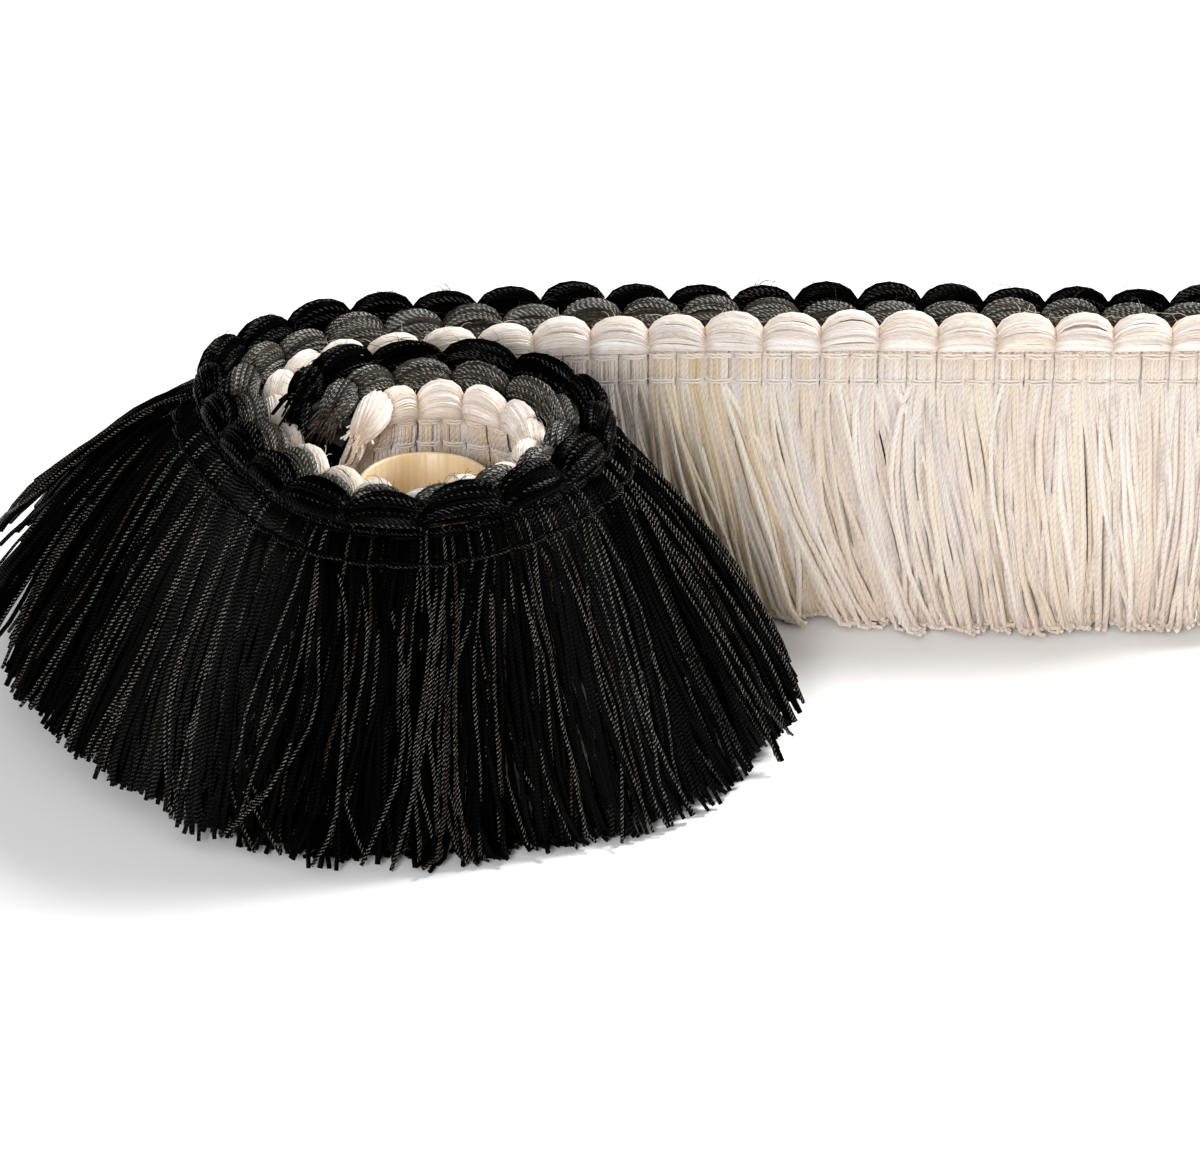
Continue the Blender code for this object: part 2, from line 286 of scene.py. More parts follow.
def bend(s, n, z):
    """Points of the flat trim, laid along its route, in metres in the frame."""
    s = np.asarray(s, float)
    on_route = np.clip(s, 0.0, LENGTH)
    ahead = np.minimum(on_route + 1.0, LENGTH)
    behind = np.maximum(on_route - 1.0, 0.0)
    along = np.stack([route("x", ahead) - route("x", behind),
                      route("y", ahead) - route("y", behind)])
    along = along / np.hypot(*along)
    beyond = s - on_route
    x = route("x", on_route) + beyond * along[0] + n * along[1]
    y = route("y", on_route) + beyond * along[1] - n * along[0]
    return np.stack([x - ORIGIN[0], y - ORIGIN[1], z + np.zeros_like(x)], axis=-1) * MM


def rolled(s, n, z):
    """The heading's roll about its own line and its lift, as (n, z)."""
    angle = np.radians(route("roll", s))
    rise = z - ROLL_PIVOT
    return (n * np.cos(angle) - rise * np.sin(angle),
            ROLL_PIVOT + route("lift", s) + rise * np.cos(angle) + n * np.sin(angle))


def on_heading(s, n, z):
    """Points of the heading, rolled and laid along the route."""
    return bend(s, *rolled(s, n, z))


def pinches(row):
    """Distances along the route of the pinches between a row's bobbles."""
    found = [FIRST_BOBBLE[row]]
    while found[-1] < LENGTH - LOOP_PITCH[row] / 2:
        pitch = TAIL_PITCH[row] if found[-1] < TAIL_LENGTH else LOOP_PITCH[row]
        found.append(found[-1] + pitch)
    found[-1] = LENGTH
    return np.array(found)


def necks(colour):
    """Centre and half width, along the route, of the two bound necks below each bobble."""
    marks = pinches(colour)
    if marks[0] > 1.0:
        marks = np.insert(marks, 0, 0.0)
    quarter = np.diff(marks) / 4
    centres = np.stack([marks[:-1] + quarter, marks[:-1] + 3 * quarter], axis=1).ravel()
    return centres, np.repeat(quarter, 2)


def splay(colour, s):
    """How far the yarns stand out from upright: 0 where they hang, 1 where they lie level."""
    return np.minimum(route(f"{colour}_out", s) / YARN_LENGTH, 1.0)


def unit(vectors):
    """Vectors of the same directions and of length one."""
    return vectors / np.maximum(np.linalg.norm(vectors, axis=-1, keepdims=True), 1e-12)


def link(mesh, name, material):
    """An object for a finished mesh, with its material."""
    mesh.materials.append(material)
    piece = bpy.data.objects.new(name, mesh)
    bpy.context.scene.collection.objects.link(piece)
    return piece


def tube_parts(paths, radii, sides, reference, tint):
    """Vertices, faces, UVs and tints of tubes swept along paths.

    paths is (tubes, points, 3) in metres and radii (tubes, points). reference is a direction that
    the paths never follow. tint is (tubes, 3), each from 0 to 1: which colour the yarn takes, how
    light it is, with 1 for one that gets painted glints, and where its twist starts.
    """
    tubes, points = paths.shape[:2]
    tangent = unit(np.gradient(paths, axis=1))
    across = unit(np.cross(tangent, reference))
    upward = np.cross(across, tangent)
    angle = 2 * math.pi * np.arange(sides) / sides
    ring = (across[:, :, None] * np.cos(angle)[:, None]
            + upward[:, :, None] * np.sin(angle)[:, None])
    verts = paths[:, :, None] + radii[:, :, None, None] * ring

    index = np.arange(tubes * points * sides).reshape(tubes, points, sides)
    turned = np.roll(index, -1, axis=2)
    walls = np.stack([index[:, :-1], index[:, 1:], turned[:, 1:], turned[:, :-1]], axis=-1)
    caps = np.concatenate([index[:, 0], index[:, -1, ::-1]])

    steps = np.linalg.norm(np.diff(paths, axis=1), axis=-1)
    length = np.concatenate([np.zeros((tubes, 1)), np.cumsum(steps, axis=1)], axis=1) / MM
    u0 = np.broadcast_to(np.arange(sides) / sides, (tubes, points - 1, sides))
    u1 = u0 + 1 / sides
    v0 = np.broadcast_to(length[:, :-1, None], u0.shape)
    v1 = np.broadcast_to(length[:, 1:, None], u0.shape)
    wall_uv = np.stack([np.stack([u0, v0], -1), np.stack([u0, v1], -1),
                        np.stack([u1, v1], -1), np.stack([u1, v0], -1)], axis=-2)
    cap_v = np.concatenate([length[:, 0], length[:, -1]])
    cap_uv = np.stack([np.full((len(caps), sides), 0.25),
                       np.repeat(cap_v[:, None], sides, axis=1)], axis=-1)

    share = np.broadcast_to(np.linspace(0, 1, points)[None, :, None], (tubes, points, sides))
    tints = np.concatenate([
        np.broadcast_to(tint[:, None, None, :], (tubes, points, sides, 3)), share[..., None]], -1)
    return (verts.reshape(-1, 3), [walls.reshape(-1, 4), caps],
            [wall_uv.reshape(-1, 2), cap_uv.reshape(-1, 2)], tints.reshape(-1, 4))


def mesh_of(name, parts):
    """One mesh from several sets of tubes."""
    faces, uvs, offset = [], [], 0
    for verts, face_sets, uv_sets, _ in parts:
        for face_set in face_sets:
            faces += (face_set + offset).tolist()
        uvs += uv_sets
        offset += len(verts)
    mesh = bpy.data.meshes.new(name)
    mesh.from_pydata(np.concatenate([part[0] for part in parts]).tolist(), [], faces)
    layer = mesh.uv_layers.new(name="yarn")
    layer.uv.foreach_set("vector", np.concatenate(uvs).astype(np.float32).ravel())
    tint = mesh.attributes.new("tint", "FLOAT_COLOR", "POINT")
    tint.data.foreach_set(
        "color", np.concatenate([part[3] for part in parts]).astype(np.float32).ravel())
    mesh.shade_smooth()
    mesh.set_sharp_from_angle(angle=math.radians(80))
    return mesh


def new_group(name, inputs, outputs):
    """An empty shader group with named sockets."""
    group = bpy.data.node_groups.new(name, "ShaderNodeTree")
    for label, kind, value in inputs:
        socket = group.interface.new_socket(label, in_out="INPUT", socket_type=kind)
        socket.default_value = value
    for label, kind in outputs:
        group.interface.new_socket(label, in_out="OUTPUT", socket_type=kind)
    entry = group.nodes.new("NodeGroupInput")
    leave = group.nodes.new("NodeGroupOutput")
    return group, entry.outputs, leave.inputs


def feed(tree, socket, value):
    """Links a socket to another one, or sets it to a value."""
    if isinstance(value, bpy.types.NodeSocket):
        tree.links.new(value, socket)
    else:
        socket.default_value = value


def set_inputs(node, values):
    """Sets a node's sockets, given by their labels."""
    for label, value in values.items():
        node.inputs[label].default_value = value


def math_node(tree, operation, first, second=0.0):
    """A Math node; each operand is a socket or a number."""
    node = tree.nodes.new("ShaderNodeMath")
    node.operation = operation
    feed(tree, node.inputs[0], first)
    feed(tree, node.inputs[1], second)
    return node.outputs[0]


def yarn_tint(group):
    """The node that reads a yarn's own tint, and the tint's three parts."""
    tint = group.nodes.new("ShaderNodeAttribute")
    tint.attribute_name = "tint"
    split = group.nodes.new("ShaderNodeSeparateColor")
    group.links.new(tint.outputs["Color"], split.inputs[0])
    return tint, split.outputs


def mix_colour(tree, factor, first, second, blend="MIX"):
    """A Mix node on colours; each operand is a socket or a value."""
    node = tree.nodes.new("ShaderNodeMix")
    node.data_type = "RGBA"
    node.blend_type = blend
    for label, value in (("Factor_Float", factor), ("A_Color", first), ("B_Color", second)):
        feed(tree, next(s for s in node.inputs if s.identifier == label), value)
    return next(s for s in node.outputs if s.identifier == "Result_Color")


def map_range(tree, value, low, high, to_low=0.0, to_high=1.0):
    """A smooth step of a value from one range to another."""
    node = tree.nodes.new("ShaderNodeMapRange")
    node.interpolation_type = "SMOOTHSTEP"
    tree.links.new(value, node.inputs["Value"])
    set_inputs(node, {"From Min": low, "From Max": high, "To Min": to_low, "To Max": to_high})
    return node.outputs["Result"]


def twist_group():
    """Plies twisted round each other, from a UV that runs round the yarn and along it in mm."""
    name = "Yarn twist"
    if name in bpy.data.node_groups:
        return bpy.data.node_groups[name]
    group, given, out = new_group(
        name,
        (("Plies", "NodeSocketFloat", 2.0), ("Ply length", "NodeSocketFloat", 1.3),
         ("Fibre depth", "NodeSocketFloat", 0.25)),
        (("Height", "NodeSocketFloat"), ("Groove", "NodeSocketFloat"),
         ("Crest", "NodeSocketFloat"), ("Fibres", "NodeSocketFloat")))
    calc = partial(math_node, group)
    uv = group.nodes.new("ShaderNodeUVMap")
    uv.uv_map = "yarn"
    split = group.nodes.new("ShaderNodeSeparateXYZ")
    group.links.new(uv.outputs["UV"], split.inputs[0])
    around = calc("MULTIPLY", split.outputs[0], given["Plies"])
    along = calc("DIVIDE", split.outputs[1], given["Ply length"])
    _, seed = yarn_tint(group)
    start = calc("MULTIPLY", seed[2], 13.0)
    phase = calc("ADD", calc("ADD", around, along), start)
    crest = calc("ABSOLUTE", calc("SINE", calc("MULTIPLY", phase, math.pi)))
    ply = calc("POWER", crest, 0.7)

    # Fibres, drawn out along the ply
    place = group.nodes.new("ShaderNodeCombineXYZ")
    group.links.new(calc("MULTIPLY", around, 6.0), place.inputs[0])
    group.links.new(calc("ADD", calc("MULTIPLY", phase, 0.35), calc("MULTIPLY", along, 0.1)),
                    place.inputs[1])
    group.links.new(calc("MULTIPLY", seed[1], 97.0), place.inputs[2])
    fibre = group.nodes.new("ShaderNodeTexNoise")
    set_inputs(fibre, {"Scale": 1.6, "Detail": 2.0})
    group.links.new(place.outputs[0], fibre.inputs["Vector"])
    raised = calc("MULTIPLY", fibre.outputs["Fac"], given["Fibre depth"])
    group.links.new(calc("ADD", ply, raised), out["Height"])
    group.links.new(map_range(group, crest, 0.0, 0.55, 1.0, 0.0), out["Groove"])
    group.links.new(map_range(group, crest, 0.86, 1.0), out["Crest"])
    group.links.new(fibre.outputs["Fac"], out["Fibres"])
    return group


def tint_group():
    """A yarn's colour with painted shade and painted glints: its tint picks it from four, sets how
    light it is and picks the yarns that get the glints.
    """
    name = "Yarn tint"
    if name in bpy.data.node_groups:
        return bpy.data.node_groups[name]
    white = (1, 1, 1, 1)
    group, given, out = new_group(
        name,
        (("First", "NodeSocketColor", white), ("Second", "NodeSocketColor", white),
         ("Third", "NodeSocketColor", white), ("Fourth", "NodeSocketColor", white),
         ("Unevenness", "NodeSocketFloat", 0.2), ("Groove", "NodeSocketFloat", 0.0),
         ("Groove shade", "NodeSocketFloat", 0.4), ("Fibres", "NodeSocketFloat", 0.5),
         ("Crest", "NodeSocketFloat", 0.0), ("Glint", "NodeSocketColor", white),
         ("Second glint", "NodeSocketColor", white), ("Glints", "NodeSocketFloat", 0.0),
         ("End shade", "NodeSocketFloat", 0.0), ("Mottling", "NodeSocketFloat", 0.0)),
        (("Color", "NodeSocketColor"),))
    calc = partial(math_node, group)
    tint, (own, shade, _) = yarn_tint(group)
    pick = calc("ADD", own, calc(
        "MULTIPLY", calc("SUBTRACT", given["Fibres"], 0.5), given["Mottling"]))
    colour = given["First"]
    for label, low, high in (("Second", 0.23, 0.27), ("Third", 0.48, 0.52), ("Fourth", 0.73, 0.77)):
        colour = mix_colour(group, map_range(group, pick, low, high), colour, given[label])

    # Darker in the grooves and near the yarn's ends, where its neighbours shade it
    wide = calc("ADD", shade, given["Fibres"])
    level = calc("ADD", calc("MULTIPLY", calc("SUBTRACT", wide, 1.0), given["Unevenness"]), 1.0)
    dim = calc("MULTIPLY", given["Groove"], given["Groove shade"])
    level = calc("MULTIPLY", level, calc("SUBTRACT", 1.0, dim))
    share = tint.outputs["Alpha"]
    from_end = calc("MINIMUM", share, calc("SUBTRACT", 1.0, share))
    ends = calc("MULTIPLY", map_range(group, from_end, 0.0, 0.3, 1.0, 0.0), given["End shade"])
    in_open = calc("SUBTRACT", 1.0, ends)
    level = calc("MULTIPLY", level, in_open)
    shaded = group.nodes.new("ShaderNodeCombineColor")
    for socket, loss in zip(shaded.inputs, (0.55, 0.8, 1.0)):
        darker = calc("MULTIPLY", calc("SUBTRACT", 1.0, level), loss)
        group.links.new(calc("SUBTRACT", 1.0, darker), socket)
    colour = mix_colour(group, 1.0, colour, shaded.outputs[0], "MULTIPLY")

    # Painted glints: light streaks painted along the ply crests of the yarns whose tint is light
    painted_glint_mask = calc("MULTIPLY", map_range(group, given["Fibres"], 0.44, 0.56),
                  map_range(group, shade, 0.62, 1.0))
    painted_glint_mask = calc("MULTIPLY", painted_glint_mask, given["Crest"])
    painted_glint_mask = calc("MULTIPLY", painted_glint_mask, calc("MULTIPLY", given["Glints"], in_open))
    glint = mix_colour(group, map_range(group, pick, 0.6, 0.8, 0.0, 0.8), given["Glint"],
                       given["Second glint"])
    group.links.new(mix_colour(group, painted_glint_mask, colour, glint), out["Color"])
    return group


def new_material(name):
    """A material, its node tree and its shader."""
    material = bpy.data.materials.new(name)
    material.use_nodes = True
    tree = material.node_tree
    return material, tree, tree.nodes["Principled BSDF"]


def add_bump(tree, height, distance, strength=1.0):
    """A Bump node that feeds a material's shader."""
    bump = tree.nodes.new("ShaderNodeBump")
    set_inputs(bump, {"Distance": distance, "Strength": strength})
    tree.links.new(height, bump.inputs["Height"])
    tree.links.new(bump.outputs["Normal"], tree.nodes["Principled BSDF"].inputs["Normal"])
    return bump


def yarn_material(name, colours, finish):
    """A twisted yarn in four colours, with painted glints in two more along its plies."""
    material, tree, shader = new_material(name)
    twist = tree.nodes.new("ShaderNodeGroup")
    twist.node_tree = twist_group()
    set_inputs(twist, {"Ply length": finish["ply_length"]})
    tint = tree.nodes.new("ShaderNodeGroup")
    tint.node_tree = tint_group()
    labels = ("First", "Second", "Third", "Fourth", "Glint", "Second glint")
    set_inputs(tint, {label: (*colour, 1.0) for label, colour in zip(labels, colours)})
    set_inputs(tint, {"Unevenness": finish["uneven"], "Groove shade": finish["groove"],
                      "Glints": finish["painted_glints"], "End shade": finish["ends"],
                      "Mottling": finish["mottling"]})
    for label in ("Groove", "Crest", "Fibres"):
        tree.links.new(twist.outputs[label], tint.inputs[label])
    tree.links.new(tint.outputs["Color"], shader.inputs["Base Color"])
    add_bump(tree, twist.outputs["Height"], finish["depth"])
    smoothest, roughest = finish["roughness"] - 0.1, finish["roughness"] + 0.1
    tree.links.new(map_range(tree, twist.outputs["Fibres"], 0.3, 0.7, smoothest, roughest),
                   shader.inputs["Roughness"])
    set_inputs(shader, {"Specular IOR Level": finish["specular"], "Sheen Weight": finish["sheen"],
                        "Sheen Roughness": 0.5, "Sheen Tint": (1.0, 0.96, 0.9, 1.0),
                        "Subsurface Weight": finish["soft"], "Subsurface Radius": (1.0, 0.7, 0.45),
                        "Subsurface Scale": 0.0015})
    return material


def yarn_palette(row, place):
    """The material of one colour of yarn: smoother on the bobbles, twisted in the fringe."""
    name = f"{row} {place} yarn"
    if name in bpy.data.materials:
        return bpy.data.materials[name]
    mix = bpy.context.scene.trim_colours
    # The last two colours of each row are its painted glints
    colours = {
        "white": (mix.white, mix.ivory, mix.gold, mix.silver, (1, 1, 1), (1, 1, 1)),
        "grey": (mix.grey, mix.dark_grey, mix.black, mix.grey, mix.olive_fibre_and_glint, mix.olive_fibre_and_glint),
        "black": (mix.black, mix.black, mix.soot, mix.soot, mix.glint, mix.brown_painted_glint),
    }[row]
    finish = {**FINISHES[row], **PLACE_FINISHES.get(f"{row} {place}", {})}
    return yarn_material(name, colours, finish)


def width_choice(name, description, value):
    """A yarn's thickness that the user can change."""
    return FloatProperty(name=name, description=description, default=value, min=0.0003, max=0.002,
                         unit="LENGTH", precision=5)


def count_choice(name, description, value, least=4, most=60):
    """A number of yarns, sides or fibres that the user can change."""
    return IntProperty(name=name, description=description, default=value, min=least, max=most)


class TrimSizes(bpy.types.PropertyGroup):
    """Sizes and counts of the yarns."""

    yarn_width: width_choice("Yarn width", "Thickness of one yarn of the fringe", 0.00104)
    bobble_yarn: width_choice("Bobble yarn width", "Thickness of one yarn of the bobbles", 0.0008)
    bobble_yarns: count_choice("Yarns in a bobble", "Yarns seen round each bobble", 44)
    white_yarns: count_choice("White yarns in a neck",
                              "Yarns that hang from each white neck of the tail", 34)
    inner_yarns: count_choice("Inner white yarns in a neck",
                              "Yarns that hang from each white neck inside the loop", 12)
    black_yarns: count_choice("Black yarns in a neck",
                              "Yarns that hang from each black neck of the tail", 20)
    skirt_yarns: count_choice("Skirt yarns in a neck",
                              "Yarns that hang from each black neck of the loop", 54)
    yarn_sides: count_choice("Sides of a yarn", "Flat sides round each yarn of the fringe", 4, 3, 8)
    fuzz: count_choice("Stray fibres", "Short fibres that stand off the row of black bobbles",
                       650, 4, 4000)
    seed: IntProperty(name="Seed", description="Start of the random unevenness", default=7, min=0)


def colour_choice(name, description, value):
    """A colour that the user can change."""
    return FloatVectorProperty(name=name, description=description, default=value,
                               subtype="COLOR", size=3, min=0, max=1)


class TrimColours(bpy.types.PropertyGroup):
    """Colours of the yarns, of their painted glints and of the core."""

    white: colour_choice("White", "Main colour of the white yarn", (0.925, 0.82, 0.74))
    ivory: colour_choice("Ivory", "Warmer yarns among the white", (0.91, 0.79, 0.66))
    gold: colour_choice("Pale gold", "Darkest of the white yarns", (0.83, 0.67, 0.47))
    silver: colour_choice("Silver", "Cooler yarns among the white", (0.85, 0.76, 0.73))
    grey: colour_choice("Grey", "Main colour of the grey row", (0.075, 0.0715, 0.06))
    dark_grey: colour_choice("Dark grey", "Darker mottling of the grey row", (0.018, 0.017, 0.016))
    # Olive streaks on the grey row's ply crests: partly the yarn's lighter olive fibres, partly
    # painted highlight
    olive_fibre_and_glint: colour_choice("Olive", "Light streaks along the twist of the grey yarn",
                         (0.54, 0.515, 0.45))
    black: colour_choice("Black", "Main colour of the black yarn, and the grey row's darkest",
                         (0.0007, 0.0006, 0.0006))
    soot: colour_choice("Soot", "Lighter yarns among the black", (0.0016, 0.0015, 0.0014))
    # Painted highlights: brown and light grey glints painted along the black yarn's ply crests
    brown_painted_glint: colour_choice("Brown", "Brownish streaks among the black", (0.13, 0.085, 0.055))
    glint: colour_choice("Glint", "Light streaks along the twist of the black yarn",
                         (0.30, 0.285, 0.265))
    core: colour_choice("Core", "The tube inside the loop", (0.76, 0.59, 0.39))


class StageSettings(bpy.types.PropertyGroup):
    """Floor and lights."""

    floor: colour_choice("Floor", "Colour of the floor", (0.93, 0.93, 0.925))
    key: FloatProperty(
        name="Key light", description="Power of the light above, behind and to the right",
        default=19.0, min=0, unit="POWER")
    fill: FloatProperty(
        name="Fill light", description="Power of the light in front",
        default=7.5, min=0, unit="POWER")
    ambient: FloatProperty(
        name="Ambient", description="Strength of the light from all round",
        default=0.44, min=0)


def draws(step, number=0):
    """The random draws of one piece, the same in each run."""
    return np.random.default_rng([bpy.context.scene.trim_sizes.seed, DRAWS[step] + number])


def bobble_sizes(full):
    """Half width and height of a bobble where it is this full: 0 at a pinch, 1 at its middle."""
    half_width = BOBBLE_HALF_WIDTH * (PINCH_WIDTH_SHARE + (1 - PINCH_WIDTH_SHARE) * full)
    return half_width, PINCH_HEIGHT + (BOBBLE_HEIGHT - PINCH_HEIGHT) * full


def bobble_parts(row, rng):
    """The yarns of one row of bobbles, and the bundle inside them."""
    sizes = bpy.context.scene.trim_sizes
    marks = pinches(row)
    bobbles, count, points = len(marks) - 1, sizes.bobble_yarns, BOBBLE_POINTS
    t = np.linspace(0, 1, points)[None, None, :]
    full = np.sin(math.pi * t) ** 0.85
    size = 1 + rng.normal(0, 0.045, (bobbles, 1, 1))
    own = (bobbles, count, 1)

    # Each yarn's angle round the bobble, and how deep it lies under the outermost ones
    place = np.arange(count)[None, :, None]
    turn = np.radians(FIRST_TURN + TURNS * (place + rng.uniform(-0.4, 0.4, own)) / (count - 1))
    turn = turn + rng.normal(0, 0.3, (bobbles, 1, 1)) * (t - 0.5) + rng.normal(0, 0.07, own) * full
    layer = (place % 3 == 1) * 0.14 + rng.uniform(-0.06, 0.1, own)
    yarn = sizes.bobble_yarn / 2 / MM * (0.55 + 0.45 * full) * rng.uniform(0.8, 1.2, own)
    half_width, height = bobble_sizes(full)
    wide = half_width * size - yarn - layer * full
    tall = height * size / 2 - yarn - layer * full
    n = ROWS[row] * ROW_SPACING + rng.normal(0, 0.2, (bobbles, 1, 1)) + wide * np.cos(turn)
    z = BOBBLE_FOOT + height * size / 2 + tall * np.sin(turn)
    start, end = marks[:-1, None, None] - BOBBLE_OVERLAP, marks[1:, None, None] + BOBBLE_OVERLAP
    s = start + (end - start) * (1 - np.cos(math.pi * t)) / 2
    s = s + rng.normal(0, 0.18, own) * full
    paths = on_heading(s, n, z).reshape(-1, points, 3)
    middle = on_heading(s, ROWS[row] * ROW_SPACING, BOBBLE_FOOT + height / 2).reshape(-1, points, 3)
    radii = yarn.reshape(-1, points) * MM

    tint = rng.uniform(0, 1, (bobbles * count, 3))
    shared = np.repeat(rng.uniform(0, 1, (bobbles, 1)), count, axis=0)
    tint[:, :1] = bobble_pick(row, tint[:, :1], shared)
    # Yarns past the threshold get painted glints along their crests; the others take a random,
    # darker tone
    tint[:, 1] = np.where(tint[:, 1] > PAINTED_GLINTS_FROM[row], 1.0, 0.75 * tint[:, 1])
    yarns = tube_parts(paths, radii, BOBBLE_YARN_SIDES, paths - middle + 1e-9, tint)
    return [yarns, bundle_parts(row, marks)]


def bundle_parts(row, marks):
    """The bundle that fills a row of bobbles behind its outer yarns."""
    quarter = np.arange(4 * (len(marks) - 1) + 1) / 4
    s = np.interp(quarter, np.arange(len(marks)), marks)
    half_width, height = bobble_sizes(np.abs(np.sin(math.pi * quarter)) ** 0.8)
    path = on_heading(s, ROWS[row] * ROW_SPACING, BOBBLE_FOOT + height / 2)[None]
    radii = (half_width - BUNDLE_INSET)[None] * MM
    tint = np.array([[bobble_pick(row, 0.3, 0.3), 0.0, 0.5]])
    return tube_parts(path, radii, BUNDLE_SIDES, UPWARD, tint)


def bobble_pick(row, own, shared):
    """Which of its four colours a bobble's yarn takes."""
    if row == "white":
        return 0.06 + 0.5 * (0.7 * own + 0.3 * shared) ** 2.2
    if row == "grey":
        return own
    return 0.1 + 0.62 * own


def golden(s):
    """How much the white yarns turn to cream and pale gold at a place along the tail."""
    return sum(strength * np.exp(-((s - middle) / reach) ** 2)
               for middle, reach, strength in GOLDEN_STRETCHES)


def fringe_parts(colour, part, rng):
    """The yarns of one stretch of one side of the fringe."""
    sizes = bpy.context.scene.trim_sizes
    centres, halves = necks(colour)
    low, high = STRETCHES[colour][part]
    chosen = (centres >= low) & (centres < high)
    centres, halves = centres[chosen], halves[chosen]
    tail_yarns, loop_yarns = {"white": (sizes.white_yarns, sizes.inner_yarns),
                              "black": (sizes.black_yarns, sizes.skirt_yarns)}[colour]
    count = tail_yarns if part == "tail" else loop_yarns
    each = (len(centres), count, 1)
    yarns = SimpleNamespace(colour=colour, tail=part == "tail", centre=centres[:, None, None],
                            half=halves[:, None, None] - NECK_GAP)
    yarns.across, yarns.depth = places_in_neck(each, rng)
    yarns.stray = rng.uniform(0, 1, each) > STRAYS_FROM
    yarns.bright = (rng.uniform(0, 1, each) > BRIGHT_FROM[colour]) & (yarns.depth < BRIGHT_DEPTH)

    bound = neck_path(yarns)
    free = hanging_path(yarns, bound, rng)
    s, n, z = [np.concatenate(ways, axis=-1) for ways in zip(bound, free)]
    n, z = fringe_roll(s, ROWS[colour] * n, z)
    yarn = sizes.yarn_width / 2 * rng.uniform(0.84, 1.12, each)
    yarn = yarn * (1 - BRIGHT_THINNING * yarns.bright) if colour == "black" else yarn * WHITE_SWELL

    # No yarn dips into the floor, and those that reach it lie a little above one another
    z = np.maximum(z, yarn / MM + rng.uniform(0, 1.2, each) * (z < 2))
    points = s.shape[-1]
    taper = np.concatenate([np.full(len(NECK_HEIGHTS), 0.9), 0.94 + 0.08 * HANG])
    radii = (yarn * taper).reshape(-1, points)
    paths = bend(s, n, z).reshape(-1, points, 3)
    along = unit(bend(s + 0.5, n, z) - bend(s - 0.5, n, z)).reshape(-1, points, 3)

    def of_neck(values):
        return np.repeat(values, count, axis=0)

    tint = rng.uniform(0, 1, (len(centres) * count, 3))
    shared = of_neck(rng.uniform(0, 1, (len(centres), 1)))
    # The tail's cream and gold stretches, and painted shade inside the loop, shift the white yarns
    # towards pale gold
    gold_tone_and_shade = of_neck((golden(centres) + LOOP_PAINTED_SHADE * (part != "tail"))[:, None])
    tint[:, :1] = fringe_pick(colour, tint[:, :1], shared, gold_tone_and_shade)
    tint[:, 1:2] = 0.4 * tint[:, 1:2] + 0.4 * of_neck(rng.uniform(0, 1, (len(centres), 1)))
    # Yarns set bright get painted glints on the black side and a slightly lighter tone on the white
    # side
    tint[:, 1:2] = np.where(yarns.bright.reshape(-1, 1), 1.0, tint[:, 1:2])
    return [tube_parts(paths, radii, sizes.yarn_sides, along, tint)]


def places_in_neck(each, rng):
    """Where each yarn lies in its neck: -1 to 1 across it, and 0 to 1 behind the outer yarns."""
    count = each[1]
    layers = max(2, round(count / NECK_LAYER))
    columns = math.ceil(count / layers)
    place = np.arange(count)[None, :, None]
    across = ((place // layers) + 0.5) / columns * 2 - 1
    depth = (place % layers) / (layers - 1)
    across = np.clip(across + rng.uniform(-0.13, 0.13, each), -1, 1)
    depth = np.clip(depth + rng.uniform(-0.12, 0.12, each), 0, 1)
    return across, depth


def neck_path(yarns):
    """The bound part of the yarns, as s, n and z: rounded across the neck and drawn in by ties."""
    angle = np.radians(NECK_SPLAY * splay(yarns.colour, yarns.centre))
    fall = NECK_TOP - NECK_HEIGHTS
    rounding = NECK_ROUNDING * (1 - np.sqrt(1 - 0.8 * yarns.across ** 2))
    n = (NECK_OUTER - NECK_FRONT_INSET - (NECK_TIES + rounding) * (1 - yarns.depth)
         - yarns.depth * (NECK_OUTER - NECK_INNER - NECK_INSETS) + fall * np.sin(angle))
    z = NECK_TOP - fall * np.cos(angle)
    s = yarns.centre + yarns.across * yarns.half * (1 - SIDE_TIE * NECK_TIES)
    return s, n, np.broadcast_to(z, s.shape)


